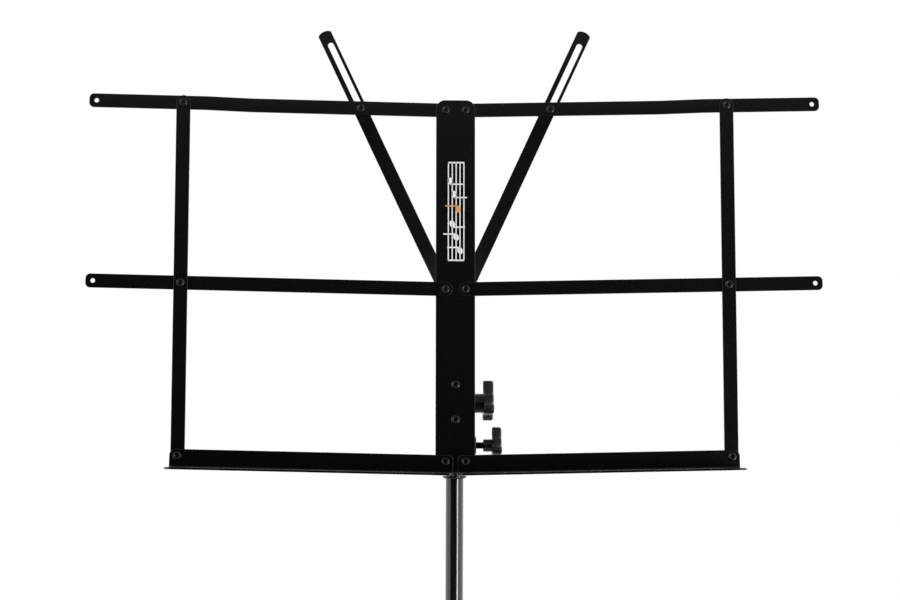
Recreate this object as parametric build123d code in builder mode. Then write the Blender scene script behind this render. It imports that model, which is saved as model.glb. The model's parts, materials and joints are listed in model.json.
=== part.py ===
"""Folding music stand: a desk of riveted strips on a telescopic column with a folding tripod.

Millimetres, +Z up, the desk faces -Y. The origin is on the floor at the centre of the footprint.
"""

from build123d import *

import os
from math import atan2, cos, degrees, hypot, radians, sin, sqrt

os.makedirs("parts", exist_ok=True)

# ---- Driving dimensions ---------------------------------------------------------------------

# Where the stand is
column_y = -60.9  # the tubes stand this far in front of the footprint's centre
tilt_height = 700.0  # height of the tilt bolt
recline = 6.0  # degrees that the desk leans back

# Desk strips, all in one plane, seen from the front
strip_width = 9.4
sheet = 1.5  # thickness of every strip and plate
layer_gap = 0.15  # air between strips that lie on each other
pivot_x = 6.65  # each half's pivots, from the centre line
top_pivot = 121.5  # top pivots above the middle ones
bottom_pivot = -114.5  # bottom pivots below the middle ones
tilt_pivot = -75.1  # tilt bolt below the middle pivots
bar_rise = 1.2  # degrees that the bars rise outwards
end_hole_reach = 233.8  # pivot to the small hole at a bar's end
end_hole_radius = 1.5
bar_end = 4.9  # from the end hole's centre to the bar's end
bar_end_corner = 3.2
upright_reach = 175.6  # pivot to the upright's rivet
ledge_reach = 180.8  # pivot to the ledge's outer end
ledge_above = 4.5  # web above the pivot line
ledge_below = 9.1  # web below the pivot line
ledge_shelf = 30.5  # depth of the shelf with the web
ledge_inner_end = 1.5  # from the centre line
ledge_bend = 1.0  # inner radius of the fold between web and shelf
ledge_corners = {"web": (3.0, 4.0), "shelf": (4.0, 6.0)}  # inner and outer end
spacer_radius = 4.0  # bushes between spine and ledges
slide_rivet_reach = 57.2  # top pivot to the rivet that rides in the arm's slot
joggle_start = 131.0  # where a top bar leaves the layer behind the spine
joggle_end = 160.0
arm_bend_start = 6.0  # where an arm leaves the spine's back
arm_bend_end = 33.0
arm_joggle_start = 113.0  # where it comes forward to the top bar
arm_joggle_end = 122.0
arm_tip = 194.0
arm_tip_bow = 1.7  # height of the arc that ends the arm
arm_tip_corner = 1.5
arm_slot_end = 185.2
arm_slot_width = 3.9
arm_slot_shift = 0.6  # the slot is this far to the right of the arm's centre line
slot_rivet_play = 0.15

# Spine
spine_width = 26.2
spine_top = 128.1
spine_bottom = -121.5
spine_corner = 6.0
spine_side_top = -13.0  # the turned-back sides start below the arms
spine_side_depth = 5.5

# Rivets
rivet_radius = 2.0
rivet_head = 2.7
rivet_height = 1.25
centre_rivet_head = 3.0
turning_play = 0.05  # radial play of a rivet, bolt or tube that something turns on

# Tilt joint
tilt_offset = 14.0  # bolt's axis behind the spine's front face
lug_half = 7.0
lug_radius = 7.5
bracket_half = 15.5
bracket_rivet_half = 11.55
bolt_radius = 3.0
bolt_head_across = 10.0
bolt_head_height = 3.4
nut_across = 9.0
nut_length = 5.0
nut_before_head = 3.0  # the nut starts this far inside the knob's hub

# Desk socket and clamp screws
socket_radius = 8.0
socket_length = 50.0
socket_bore_top = 13.0
socket_barrel_top = 14.0  # the round barrel ends this far below the tilt bolt
lug_drop = 18.0  # the flat lug reaches this far down
clamp_drop = 28.2  # clamp screw below the tilt bolt
boss_radius = 6.25
boss_end = 14.3
screw_radius = 2.5
screw_play = 0.1
screw_gap = 0.3  # between the screw's tip and the tube that it grips
thread_pitch = 0.8
insert_radius = 3.6
insert_length = 6.0

# Knobs
knob_turn = -16.0  # degrees from straight up to the upper lobe, positive towards the front
knob_core = 0.5  # round middle of the head, as a share of its reach
tilt_hub_radius = 6.45
tilt_lobe_reach = 15.5
tilt_lobe_half = 3.4
tilt_head_start = 19.0
tilt_head_end = 25.9
clamp_hub_radius = 4.15
clamp_lobe_reach = 12.5
clamp_lobe_half = 2.9
clamp_hub_length = 6.0
clamp_head_thick = 6.3
clamp_neck = 4.7  # bare thread between boss and knob

# Column
tube_wall = 1.0
upper_tube_radius = 6.0
middle_tube_radius = 8.0
lower_tube_radius = 9.5
upper_tube_length = 400.0
middle_tube_length = 400.0
middle_tube_top = 515.0
lower_tube_top = 415.0
lower_tube_bottom = 21.0
collar_below = 22.0  # collar that grips the lower of two tubes
collar_above = 15.0
collar_wall = 4.0
collar_boss = 5.0  # the screw's boss stands this far out of a collar
guide_length = 14.0

# Tripod
leg_azimuths = {"back": 90.0, "front_left": 210.0, "front_right": 330.0}
leg_spread = 56.0  # degrees between leg and column
brace_length = 112.0
leg_length = 272.0
leg_pivot_radius = 19.5  # hub and collar pivots from the column's axis
leg_end_height = 9.0
leg_half_depth = 6.0
leg_half_width = 5.2
channel_wall = 1.2
brace_half_depth = 4.5
brace_half_width = 3.8
side_play = 0.2
ring_radius = 13.0
ring_height = 20.0
hub_fin_tip = 3.0
collar_fin_tip = 4.4
hub_pin_radius = 1.5
knee_radius = 2.0
knee_head = 3.4
knee_head_height = 1.3
leg_web_start = 6.5  # the channels are open round their pivots
brace_web_start = 5.0
foot_sleeve = 20.0  # length of leg inside the rubber foot
foot_past_leg = 9.0
foot_half_depth = 8.0
foot_half_width = 7.0
foot_corner = 3.0

# ---- Depth of each layer, forward of the spine's front face ----------------------------------

spine_back = -sheet
front_layer = layer_gap  # middle bars and the outer part of the top bars
upright_layer = front_layer + sheet + layer_gap
ledge_layer = upright_layer + sheet + layer_gap
rear_layer = spine_back - layer_gap - sheet  # inner part of the top bars, foot of the arms
slot_layer = rear_layer - layer_gap - sheet  # slotted part of the arms
deep_layer = slot_layer - layer_gap - sheet  # middle part of the arms

# ---- Frames ------------------------------------------------------------------------------------

lean = radians(recline)
desk_up = Vector(0, sin(lean), cos(lean))
desk_front = Vector(0, -cos(lean), sin(lean))
tilt_axis = Vector(0, column_y, tilt_height)
desk_origin = tilt_axis - desk_up * tilt_pivot + desk_front * tilt_offset

# X to the right, Y up the spine, Z out of the front, from the middle of the two middle pivots
desk = Plane(origin=desk_origin, x_dir=(1, 0, 0), z_dir=desk_front)
# X out of the front, Y up the spine, Z to the left, from the tilt bolt
desk_side = Plane(origin=tilt_axis, x_dir=desk_front, z_dir=(-1, 0, 0))
# X backwards, Y up, Z to the right, from the tilt bolt and not tilted with the desk
socket_side = Plane(origin=tilt_axis, x_dir=(0, 1, 0), z_dir=(1, 0, 0))

column = Plane(origin=(0, column_y, 0))


def across(height):
    """Plane across the column at a height."""
    return column.offset(height)


def sideways(height, x=0.0):
    """Plane that faces right at a height on the column's axis, its X up."""
    return Plane(origin=(x, column_y, height), x_dir=(0, 0, 1), z_dir=(1, 0, 0))


def along_bar(side, height, angle=bar_rise, depth=0.0):
    """Plane in the desk whose X runs outwards along a bar of the right (1) or left (-1) half."""
    way = radians(angle)
    spot = desk.from_local_coords(Vector(side * pivot_x, height, depth))
    tip = desk.from_local_coords(Vector(side * (pivot_x + cos(way)), height + sin(way), depth))
    return Plane(origin=spot, x_dir=tip - spot, z_dir=desk_front)


def along_edge(plane):
    """The plane that stands on a bar's plane along its X, for outlines in length and depth."""
    return Plane(origin=plane.origin, x_dir=plane.x_dir, z_dir=plane.x_dir.cross(plane.z_dir))


sides = {"right": 1, "left": -1}
rise = radians(bar_rise)
slide_spot = (pivot_x + slide_rivet_reach * cos(rise), top_pivot + slide_rivet_reach * sin(rise))


# ---- Shapes used more than once ----------------------------------------------------------------


def rivet(back, front, radius=rivet_radius, head=rivet_head, flush=False):
    """Tubular rivet along Z: rolled head in front of front, and a flat head behind back."""
    crown = front + rivet_height
    tail = back if flush else back - 0.9 * rivet_height
    with BuildPart(mode=Mode.PRIVATE) as one:
        with BuildSketch(Plane.XZ):
            with BuildLine():
                Polyline((0, tail), (0, crown - 0.8), (0.55 * radius, crown - 0.8))
                ThreePointArc(
                    (0.55 * radius, crown - 0.8),
                    (0.5 * (0.55 * radius + head), crown),
                    (head, front),
                )
                if flush:
                    Polyline((head, front), (radius, front), (radius, tail), (0, tail))
                else:
                    Polyline((head, front), (radius, front), (radius, back), (head, back))
                    ThreePointArc((head, back), (0.85 * head, tail + 0.3), (0.5 * head, tail))
                    Line((0.5 * head, tail), (0, tail))
            make_face()
        revolve(axis=Axis.Z)
    return one.part


def disc(back, front, head=rivet_head):
    """Closing head of a rivet, on its own."""
    with BuildPart(mode=Mode.PRIVATE) as one:
        with BuildSketch(Plane.XY.offset(back)):
            Circle(head)
        extrude(amount=front - back)
        chamfer(one.edges().group_by(Axis.Z)[0], 0.4)
    return one.part


def bar_outer_end():
    """The outline round a bar's end hole, with small corners."""
    with Locations((end_hole_reach, 0)):
        RectangleRounded(2 * bar_end, strip_width, bar_end_corner)


def straight_strip(plane, start, end, holes, is_bar=False):
    """Flat strip with round ends that are centred on start and end, with (place, radius) holes."""
    with BuildPart() as piece:
        with BuildSketch(plane):
            with Locations(((start + end) / 2, 0)):
                SlotCenterToCenter(end - start, strip_width)
            if is_bar:
                bar_outer_end()
            for place, radius in holes:
                with Locations((place, 0)):
                    Circle(radius, mode=Mode.SUBTRACT)
        extrude(amount=sheet)
    return piece


def joggled(edge_plane, bends):
    """Sheet that changes layer along its length: bends are (place, depth of its back)."""
    front = [(place, depth + sheet) for place, depth in reversed(bends)]
    with BuildPart(mode=Mode.PRIVATE) as piece:
        with BuildSketch(edge_plane):
            Polygon(*bends, *front, align=None)
        extrude(amount=strip_width, both=True)
    return piece.part


def thread(start, end, radius=screw_radius):
    """Screw along Z with a V thread drawn as rings, and a small cone at its start."""
    turns = int((end - start - 1.0) / thread_pitch)
    root = radius - 0.6 * thread_pitch
    with BuildPart(mode=Mode.PRIVATE) as one:
        with BuildSketch(Plane.XZ):
            with BuildLine():
                points = [(0, start), (root - 0.5, start), (root, start + 0.5)]
                for turn in range(turns):
                    crest = start + 0.5 + (turn + 0.5) * thread_pitch
                    points += [(radius, crest), (root, crest + 0.5 * thread_pitch)]
                points += [(root, end), (0, end), (0, start)]
                Polyline(*points)
            make_face()
        revolve(axis=Axis.Z)
    return one.part


def knob(plane, hub_radius, hub_length, reach, half, thick, hole, hole_depth):
    """Three-lobed knob whose hub starts on the plane and whose head ends the hub."""
    core = knob_core * reach
    with BuildPart() as piece:
        with BuildSketch(plane.offset(hub_length)):
            Circle(core)
            with PolarLocations(0, 3, start_angle=knob_turn):
                with Locations(((reach - half) / 2, 0)):
                    SlotCenterToCenter(reach - half, 2 * half)
            notches = [v for v in vertices() if 0.9 * core < hypot(v.X, v.Y) < reach - half]
            fillet(notches, 0.8 * half)
        extrude(amount=thick)
        head_end = faces().sort_by(Axis.X)[-1]
        fillet(head_end.edges(), 0.22 * thick)
        with BuildSketch(plane):
            Circle(hub_radius)
        extrude(amount=hub_length + 0.5 * thick)
        with BuildSketch(plane):
            Circle(hole)
        extrude(amount=hole_depth, mode=Mode.SUBTRACT)
    return piece


def pipe(plane, radius, length):
    """Round tube that starts on the plane."""
    with BuildPart() as piece:
        with BuildSketch(plane):
            Circle(radius)
            Circle(radius - tube_wall, mode=Mode.SUBTRACT)
        extrude(amount=length)
        chamfer(piece.edges().filter_by(GeomType.CIRCLE).group_by(Axis.Z)[-1], 0.25)
    return piece


def threaded_insert(plane, length):
    """Round metal insert with a knurl of flats, for a clamp screw."""
    with BuildPart() as piece:
        with BuildSketch(plane):
            RegularPolygon(insert_radius, 12)
            Circle(screw_radius + turning_play, mode=Mode.SUBTRACT)
        extrude(amount=length)
    return piece


def clamp_set(name, height, grip_radius, boss_reach):
    """Insert, screw and knob that grip a tube of grip_radius; returns the pieces by node name."""
    insert = threaded_insert(sideways(height, boss_reach - insert_length), insert_length)
    hub_start = boss_reach + clamp_neck
    with BuildPart(sideways(height)) as screw:
        add(thread(grip_radius + screw_gap, hub_start + clamp_hub_length))
    hand = knob(
        sideways(height, hub_start),
        clamp_hub_radius,
        clamp_hub_length,
        clamp_lobe_reach,
        clamp_lobe_half,
        clamp_head_thick,
        screw_radius,
        clamp_hub_length,
    )
    return {f"{name}_insert": insert, f"{name}_screw": screw, f"{name}_knob": hand}


def channel(plane, length, half_depth, half_width, web_side, web_start, web_end, holes):
    """Folded channel along the plane's X: two walls and a web on the +Y or -Y side."""
    inner = half_width - channel_wall
    open_depth = 2 * half_depth - channel_wall
    with BuildPart() as piece:
        with BuildSketch(plane):
            with Locations((length / 2, 0)):
                SlotCenterToCenter(length, 2 * half_depth)
        extrude(amount=half_width, both=True)
        with BuildSketch(plane):
            with Locations((length / 2, -web_side * channel_wall)):
                Rectangle(length + 4 * half_depth, open_depth + channel_wall)
        extrude(amount=inner, both=True, mode=Mode.SUBTRACT)
        with BuildSketch(plane):
            for low, high in ((-2 * half_depth, web_start), (web_end, length + 2 * half_depth)):
                with Locations(((low + high) / 2, 0)):
                    Rectangle(high - low, 2 * half_depth)
        extrude(amount=inner, both=True, mode=Mode.SUBTRACT)
        with BuildSketch(plane):
            for place, radius in holes:
                with Locations((place, 0)):
                    Circle(radius)
        extrude(amount=half_width, both=True, mode=Mode.SUBTRACT)
    return piece


def pin(reach, radius, head=0.0, head_height=0.0):
    """Cross pin along Z, centred, with low domed heads when head is given."""
    with BuildPart(mode=Mode.PRIVATE) as one:
        with BuildSketch(Plane.XZ):
            with BuildLine():
                if head:
                    top = reach + head_height
                    TangentArc((0, top), (head, reach), tangent=(1, 0))
                    Polyline((head, reach), (radius, reach), (radius, -reach), (head, -reach))
                    TangentArc((0, -top), (head, -reach), tangent=(1, 0))
                    Line((0, -top), (0, top))
                else:
                    Polyline((0, -reach), (radius, -reach), (radius, reach), (0, reach), (0, -reach))
            make_face()
        revolve(axis=Axis.Z)
    return one.part


pieces = {}

# ---- Spine and what is riveted to it -----------------------------------------------------------

with BuildPart() as spine:
    with BuildSketch(desk.offset(spine_back)):
        with Locations((0, (spine_top + spine_bottom) / 2)):
            Rectangle(spine_width, spine_top - spine_bottom)
        fillet(vertices(), spine_corner)
    extrude(amount=sheet)
    with BuildSketch(desk.offset(spine_back)):
        for x in (1, -1):
            with Locations((x * (spine_width - sheet) / 2, (spine_side_top + spine_bottom) / 2)):
                Rectangle(sheet, spine_side_top - spine_bottom - 2 * spine_corner)
    extrude(amount=-(spine_side_depth - sheet))
    with BuildSketch(desk):
        with Locations(*[(x * pivot_x, y) for x in (1, -1) for y in (top_pivot, 0, bottom_pivot)]):
            Circle(rivet_radius)
        with Locations(*[(0, tilt_pivot + y * bracket_rivet_half) for y in (1, -1)]):
            Circle(rivet_radius)
    extrude(amount=-sheet, mode=Mode.SUBTRACT)
pieces["spine"] = spine

with BuildPart(desk) as spine_rivets:
    for x in (pivot_x, -pivot_x):
        with Locations((x, top_pivot)):
            add(rivet(rear_layer, 0, flush=True))
        with Locations((x, 0)):
            add(rivet(rear_layer - turning_play, front_layer + sheet + turning_play))
        with Locations((x, bottom_pivot)):
            add(rivet(spine_back, ledge_layer + sheet + turning_play))
pieces["spine_rivets"] = spine_rivets

with BuildPart(desk) as ledge_spacers:
    with BuildSketch(desk):
        with Locations((pivot_x, bottom_pivot), (-pivot_x, bottom_pivot)):
            Circle(spacer_radius)
            Circle(rivet_radius, mode=Mode.SUBTRACT)
    extrude(amount=ledge_layer - turning_play)
pieces["ledge_spacers"] = ledge_spacers

# ---- Tilt bracket, bolt and knob -----------------------------------------------------------------

bracket_front = tilt_offset - sheet
ear_inner = lug_half + layer_gap
ear_outer = ear_inner + sheet

with BuildPart() as tilt_bracket:
    with BuildSketch(desk_side):
        Circle(lug_radius)
        with Locations((bracket_front - sheet / 2, 0)):
            Rectangle(sheet, 2 * bracket_half)
        make_hull()
    extrude(amount=ear_outer, both=True)
    with BuildSketch(desk_side):
        with Locations((bracket_front - sheet - 20, 0)):
            Rectangle(40, 3 * bracket_half)
    extrude(amount=ear_inner, both=True, mode=Mode.SUBTRACT)
    with BuildSketch(desk_side):
        Circle(bolt_radius)
    extrude(amount=ear_outer, both=True, mode=Mode.SUBTRACT)
    with BuildSketch(desk):
        with Locations(*[(0, tilt_pivot + y * bracket_rivet_half) for y in (1, -1)]):
            Circle(rivet_radius)
    extrude(amount=-tilt_offset + 4, mode=Mode.SUBTRACT)
pieces["tilt_bracket"] = tilt_bracket

with BuildPart(desk) as bracket_rivets:
    with Locations(*[(0, tilt_pivot + y * bracket_rivet_half) for y in (1, -1)]):
        add(rivet(spine_back - sheet, 0, head=centre_rivet_head))
pieces["bracket_rivets"] = bracket_rivets

nut_start = tilt_head_start - nut_before_head
hub_start = ear_outer + side_play

with BuildPart() as tilt_bolt:
    with BuildSketch(sideways(tilt_height, -ear_outer - bolt_head_height)):
        RegularPolygon(bolt_head_across / 2, 6, major_radius=False)
    extrude(amount=bolt_head_height)
    with BuildSketch(sideways(tilt_height, -ear_outer)):
        Circle(bolt_radius)
    extrude(amount=ear_outer + nut_start + nut_length + 0.5)
pieces["tilt_bolt"] = tilt_bolt

with BuildPart() as tilt_nut:
    with BuildSketch(sideways(tilt_height, nut_start)):
        RegularPolygon(nut_across / 2, 6, major_radius=False)
        Circle(bolt_radius + turning_play, mode=Mode.SUBTRACT)
    extrude(amount=nut_length)
pieces["tilt_nut"] = tilt_nut

bare_knob = knob(
    sideways(tilt_height, hub_start),
    tilt_hub_radius,
    tilt_head_start - hub_start,
    tilt_lobe_reach,
    tilt_lobe_half,
    tilt_head_end - tilt_head_start,
    bolt_radius + turning_play,
    nut_start + nut_length + 1.0 - hub_start,
)
with BuildPart() as tilt_knob:
    add(bare_knob.part)
    with BuildSketch(sideways(tilt_height, nut_start)):
        RegularPolygon(nut_across / 2, 6, major_radius=False)
    extrude(amount=nut_length, mode=Mode.SUBTRACT)
pieces["tilt_knob"] = tilt_knob

# ---- The two halves of the desk --------------------------------------------------------------------

for side, x in sides.items():
    top_plane = along_bar(x, top_pivot)
    with BuildPart() as top_bar:
        with BuildSketch(top_plane.offset(2 * rear_layer)):
            with Locations((end_hole_reach / 2, 0)):
                SlotCenterToCenter(end_hole_reach, strip_width)
            bar_outer_end()
            for place, radius in (
                (0, rivet_radius + turning_play),
                (slide_rivet_reach, rivet_radius),
                (upright_reach, rivet_radius + turning_play),
                (end_hole_reach, end_hole_radius),
            ):
                with Locations((place, 0)):
                    Circle(radius, mode=Mode.SUBTRACT)
        extrude(amount=-4 * rear_layer)
        add(
            joggled(
                along_edge(top_plane),
                [(-strip_width, rear_layer), (joggle_start, rear_layer)]
                + [(joggle_end, front_layer), (end_hole_reach + strip_width, front_layer)],
            ),
            mode=Mode.INTERSECT,
        )
    pieces[f"top_bar_{side}"] = top_bar

    pieces[f"middle_bar_{side}"] = straight_strip(
        along_bar(x, 0, depth=front_layer),
        0,
        end_hole_reach,
        (
            (0, rivet_radius + turning_play),
            (upright_reach, rivet_radius + turning_play),
            (end_hole_reach, end_hole_radius),
        ),
        is_bar=True,
    )

    ledge_plane = along_bar(x, bottom_pivot, depth=ledge_layer)
    ledge_inner = ledge_inner_end - pivot_x
    ledge_middle = (ledge_inner + ledge_reach) / 2
    ledge_span = ledge_reach - ledge_inner
    web_height = ledge_above + ledge_below
    with BuildPart() as ledge:
        with BuildSketch(ledge_plane):
            with Locations((ledge_middle, x * (ledge_above - ledge_below) / 2)):
                Rectangle(ledge_span, web_height)
        extrude(amount=ledge_shelf)
        with BuildSketch(ledge_plane.offset(sheet)):
            with Locations((ledge_middle, x * (sheet + ledge_above - ledge_below) / 2)):
                Rectangle(ledge_span, web_height - sheet)
        extrude(amount=ledge_shelf, mode=Mode.SUBTRACT)
        for height, depth, bend in (
            (-ledge_below, 0, ledge_bend + sheet),
            (sheet - ledge_below, sheet, ledge_bend),
        ):
            bend_spot = ledge_plane.from_local_coords(Vector(ledge_middle, x * height, depth))
            long_edges = ledge.edges().filter_by(lambda e: e.length > ledge_span - 1)
            fillet(long_edges.sort_by_distance(bend_spot)[0], bend)
        for end, place in enumerate((ledge_inner, ledge_reach)):
            for wall, height, depth in (
                ("web", ledge_above, sheet / 2),
                ("shelf", sheet / 2 - ledge_below, ledge_shelf),
            ):
                corner_spot = ledge_plane.from_local_coords(Vector(place, x * height, depth))
                short_edges = ledge.edges().filter_by(lambda e: abs(e.length - sheet) < 0.01)
                fillet(short_edges.sort_by_distance(corner_spot)[0], ledge_corners[wall][end])
        with BuildSketch(ledge_plane):
            with Locations((0, 0), (upright_reach, 0)):
                Circle(rivet_radius + turning_play)
        extrude(amount=sheet, mode=Mode.SUBTRACT)
    pieces[f"ledge_{side}"] = ledge

    upright_foot = desk.from_local_coords(
        Vector(x * (pivot_x + upright_reach * cos(rise)), upright_reach * sin(rise), upright_layer)
    )
    upright_plane = Plane(origin=upright_foot, x_dir=desk_up, z_dir=desk_front)
    pieces[f"upright_{side}"] = straight_strip(
        upright_plane,
        bottom_pivot,
        top_pivot,
        ((bottom_pivot, rivet_radius), (0, rivet_radius), (top_pivot, rivet_radius)),
    )
    with BuildPart(upright_plane.offset(-upright_layer)) as upright_rivets:
        upright_front = upright_layer + sheet
        with Locations((0, 0), (top_pivot, 0)):
            add(rivet(front_layer - turning_play, upright_front))
        with Locations((bottom_pivot, 0)):
            add(rivet(upright_layer, ledge_layer + sheet + turning_play))
    pieces[f"upright_rivets_{side}"] = upright_rivets

    # The slotted arm: its centre line passes beside the slide rivet by the slot's shift
    slide_distance = hypot(slide_spot[0] - pivot_x, slide_spot[1])
    slide_angle = degrees(atan2(slide_spot[1], slide_spot[0] - pivot_x))
    shift_angle = degrees(arm_slot_shift / slide_distance)
    arm_plane = along_bar(x, 0, angle=slide_angle + x * shift_angle)
    slot_start = sqrt(slide_distance**2 - arm_slot_shift**2) - slot_rivet_play
    slot_centre_end = arm_slot_end - arm_slot_width / 2
    with BuildPart() as arm:
        with BuildSketch(arm_plane.offset(2 * deep_layer)):
            with BuildLine():
                Polyline(
                    (arm_tip - arm_tip_bow, strip_width / 2),
                    (0, strip_width / 2),
                    (0, -strip_width / 2),
                    (arm_tip - arm_tip_bow, -strip_width / 2),
                )
                ThreePointArc(
                    (arm_tip - arm_tip_bow, -strip_width / 2),
                    (arm_tip, 0),
                    (arm_tip - arm_tip_bow, strip_width / 2),
                )
            make_face()
            Circle(strip_width / 2)
            with Locations(((slot_start + slot_centre_end) / 2, -arm_slot_shift)):
                SlotCenterToCenter(slot_centre_end - slot_start, arm_slot_width, mode=Mode.SUBTRACT)
            Circle(rivet_radius + turning_play, mode=Mode.SUBTRACT)
        extrude(amount=-4 * deep_layer)
        tip_spot = arm_plane.from_local_coords(Vector(arm_tip, 0, 0))
        square_edges = arm.edges().filter_by(Axis(origin=(0, 0, 0), direction=desk_front))
        fillet(square_edges.sort_by_distance(tip_spot)[:2], arm_tip_corner)
        add(
            joggled(
                along_edge(arm_plane),
                [(-strip_width, rear_layer), (arm_bend_start, rear_layer)]
                + [(arm_bend_end, deep_layer), (arm_joggle_start, deep_layer)]
                + [(arm_joggle_end, slot_layer), (arm_tip + strip_width, slot_layer)],
            ),
            mode=Mode.INTERSECT,
        )
    pieces[f"arm_{side}"] = arm

    with BuildPart(desk) as arm_rivet:
        with Locations((x * slide_spot[0], slide_spot[1])):
            add(rivet(rear_layer, rear_layer + sheet, flush=True))
            add(disc(slot_layer - layer_gap - 1.2, slot_layer - layer_gap))
    pieces[f"arm_rivet_{side}"] = arm_rivet

# ---- Desk socket -----------------------------------------------------------------------------------

with BuildPart() as desk_socket:
    with BuildSketch(across(tilt_height - socket_length)):
        Circle(socket_radius)
    extrude(amount=socket_length - socket_barrel_top)
    with BuildSketch(socket_side):
        Circle(lug_radius)
        with Locations((0, -lug_drop / 2)):
            Rectangle(2 * lug_radius, lug_drop)
    extrude(amount=lug_half, both=True)
    with BuildSketch(sideways(tilt_height - clamp_drop)):
        Circle(boss_radius)
    extrude(amount=boss_end)
    chamfer(desk_socket.edges().filter_by(GeomType.CIRCLE).sort_by(Axis.X)[-1], 0.5)
    with BuildSketch(across(tilt_height - socket_length)):
        Circle(upper_tube_radius + turning_play)
    extrude(amount=socket_length - socket_bore_top, mode=Mode.SUBTRACT)
    chamfer(desk_socket.edges().filter_by(GeomType.CIRCLE).group_by(Axis.Z)[0], 0.5)
    with BuildSketch(socket_side):
        Circle(bolt_radius + turning_play)
    extrude(amount=lug_half, both=True, mode=Mode.SUBTRACT)
    with BuildSketch(sideways(tilt_height - clamp_drop)):
        Circle(screw_radius + screw_play)
    extrude(amount=boss_end, mode=Mode.SUBTRACT)
    with BuildSketch(sideways(tilt_height - clamp_drop, boss_end - insert_length)):
        RegularPolygon(insert_radius, 12)
    extrude(amount=insert_length, mode=Mode.SUBTRACT)
pieces["desk_socket"] = desk_socket
pieces.update(clamp_set("socket", tilt_height - clamp_drop, upper_tube_radius, boss_end))

# ---- Column ------------------------------------------------------------------------------------------

upper_tube_top = tilt_height - socket_bore_top - 0.5
upper_tube_bottom = upper_tube_top - upper_tube_length
middle_tube_bottom = middle_tube_top - middle_tube_length
pieces["upper_tube"] = pipe(across(upper_tube_bottom), upper_tube_radius, upper_tube_length)
pieces["middle_tube"] = pipe(across(middle_tube_bottom), middle_tube_radius, middle_tube_length)
pieces["lower_tube"] = pipe(
    across(lower_tube_bottom), lower_tube_radius, lower_tube_top - lower_tube_bottom
)


def guide(bottom, tube_radius, outer_radius):
    """Plastic bush pressed in the foot of a tube, which slides in the next tube."""
    with BuildPart() as piece:
        with BuildSketch(across(bottom - guide_length)):
            Circle(outer_radius - tube_wall - turning_play)
        extrude(amount=guide_length)
        with BuildSketch(across(bottom)):
            Circle(tube_radius - tube_wall)
        extrude(amount=guide_length)
        with BuildSketch(across(bottom - guide_length)):
            Circle(tube_radius - 2 * tube_wall)
        extrude(amount=2 * guide_length, mode=Mode.SUBTRACT)
    return piece


pieces["upper_tube_guide"] = guide(upper_tube_bottom, upper_tube_radius, middle_tube_radius)
pieces["middle_tube_guide"] = guide(middle_tube_bottom, middle_tube_radius, lower_tube_radius)


def clamp_collar(seat, inner_radius, outer_radius):
    """Moulded collar fixed on the top of a tube; the next tube slides through its upper half."""
    body = outer_radius + collar_wall
    screw_height = seat + 0.42 * collar_above
    reach = body + collar_boss
    with BuildPart() as piece:
        with BuildSketch(across(seat - collar_below)):
            Circle(body)
        extrude(amount=collar_below + collar_above)
        fillet(piece.edges().filter_by(GeomType.CIRCLE).group_by(Axis.Z)[-1], 2.0)
        chamfer(piece.edges().filter_by(GeomType.CIRCLE).group_by(Axis.Z)[0], 1.0)
        with BuildSketch(sideways(screw_height)):
            Circle(boss_radius)
        extrude(amount=reach)
        chamfer(piece.edges().filter_by(GeomType.CIRCLE).sort_by(Axis.X)[-1], 0.5)
        with BuildSketch(across(seat - collar_below)):
            Circle(outer_radius)
        extrude(amount=collar_below, mode=Mode.SUBTRACT)
        with BuildSketch(across(seat)):
            Circle(inner_radius + turning_play)
        extrude(amount=collar_above, mode=Mode.SUBTRACT)
        with BuildSketch(sideways(screw_height)):
            Circle(screw_radius + screw_play)
        extrude(amount=reach, mode=Mode.SUBTRACT)
        with BuildSketch(sideways(screw_height, reach - insert_length)):
            RegularPolygon(insert_radius, 12)
        extrude(amount=insert_length, mode=Mode.SUBTRACT)
    return piece, screw_height, reach


for clamp, seat, inner_radius, outer_radius in (
    ("upper_clamp", middle_tube_top, upper_tube_radius, middle_tube_radius),
    ("lower_clamp", lower_tube_top, middle_tube_radius, lower_tube_radius),
):
    collar, screw_height, reach = clamp_collar(seat, inner_radius, outer_radius)
    pieces[f"{clamp}_collar"] = collar
    pieces.update(clamp_set(clamp, screw_height, inner_radius, reach))

# ---- Tripod --------------------------------------------------------------------------------------------

spread = radians(leg_spread)
leg_top_height = leg_end_height + leg_length * cos(spread)
hub_height = leg_top_height - 2 * brace_length * cos(spread)


def radial(azimuth, height, radius=0.0, angle=90.0):
    """Plane in which a leg folds, its X at angle from straight up, outwards."""
    turn = radians(azimuth)
    outwards = Vector(cos(turn), sin(turn), 0)
    tip = radians(angle)
    spot = Vector(0, column_y, height) + outwards * radius
    way = outwards * sin(tip) + Vector(0, 0, cos(tip))
    return Plane(origin=spot, x_dir=way, z_dir=outwards.cross(Vector(0, 0, 1)))


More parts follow.
